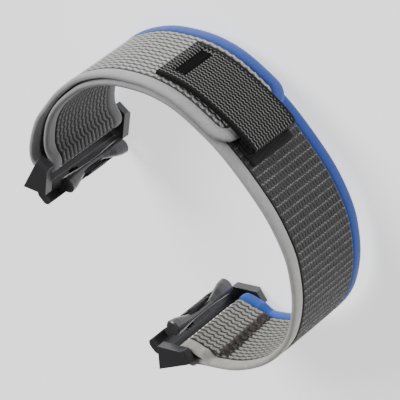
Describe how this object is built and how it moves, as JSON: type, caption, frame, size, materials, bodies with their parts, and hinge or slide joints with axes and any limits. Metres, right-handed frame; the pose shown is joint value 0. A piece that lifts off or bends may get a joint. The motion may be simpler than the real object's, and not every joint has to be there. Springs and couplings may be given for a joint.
{
  "type": "watch strap",
  "caption": "Woven hook-and-loop wrist strap closed in a loop, with a pull tab and a pivoting quick-release connector at each end.",
  "frame": {"origin": "centre of the part's box in X and Y, on the plane it lies on (the connectors' far outer faces)", "axes": "the strap lies on its side: +Z runs across the strap from the blue edge up to the grey edge, +Y from the sewn end's connector to the threaded end's connector, -X to where the watch sits, +X to the closure with the pull tab"},
  "size_m": [0.059, 0.0672, 0.0256],
  "materials": {
    "weave_grey": "dark grey woven nylon with raised loops",
    "edge_grey": "light grey woven selvedge",
    "edge_blue": "blue woven selvedge",
    "tab_black": "black twill webbing",
    "patch_black": "smooth dark patch, pressed flat",
    "hook_black": "hook tape",
    "thread_brown": "close stitching in dark thread",
    "satin_black_metal": "satin black coating",
    "button_black_metal": "satin black coating, ridged",
    "bare_steel": "turned bare steel"
  },
  "bodies": {
    "strap": {"ribbon_core": "weave_grey", "grey_edge_binding": "edge_grey", "blue_edge_binding": "edge_blue", "end_seam_stitching": "thread_brown", "pull_tab_webbing": "tab_black", "tab_slot_patch": "patch_black", "hook_pad": "hook_black"},
    "upper_connector": {"upper_connector_frame": "satin_black_metal", "upper_strap_bar": "bare_steel", "upper_saddle_plug": "satin_black_metal", "upper_plug_screw_grey_side": "bare_steel", "upper_button_spring_grey_side": "bare_steel", "upper_plug_screw_blue_side": "bare_steel", "upper_button_spring_blue_side": "bare_steel"},
    "upper_release": {"upper_release_button": "button_black_metal"},
    "lower_connector": {"lower_connector_frame": "satin_black_metal", "lower_strap_bar": "bare_steel", "lower_saddle_plug": "satin_black_metal", "lower_plug_screw_grey_side": "bare_steel", "lower_button_spring_grey_side": "bare_steel", "lower_plug_screw_blue_side": "bare_steel", "lower_button_spring_blue_side": "bare_steel"},
    "lower_release": {"lower_release_button": "button_black_metal"}
  },
  "joints": [
    {"name": "upper_bar_hinge", "type": "hinge", "parent": "strap", "child": "upper_connector", "pos_m": [-0.0217, 0.02391, 0.0128], "axis": [0, 0, 1], "range_deg": [-30, 60]},
    {"name": "upper_button_slide", "type": "slide", "parent": "upper_connector", "child": "upper_release", "axis": [0, 1, 0], "range_m": [0, 0.0004], "stiffness_N_per_m": 600, "deforming": ["upper_button_spring_grey_side", "upper_button_spring_blue_side"]},
    {"name": "lower_bar_hinge", "type": "hinge", "parent": "strap", "child": "lower_connector", "pos_m": [-0.0217, -0.02409, 0.0128], "axis": [0, 0, 1], "range_deg": [-60, 30]},
    {"name": "lower_button_slide", "type": "slide", "parent": "lower_connector", "child": "lower_release", "axis": [0, -1, 0], "range_m": [0, 0.0004], "stiffness_N_per_m": 600, "deforming": ["lower_button_spring_grey_side", "lower_button_spring_blue_side"]}
  ]
}
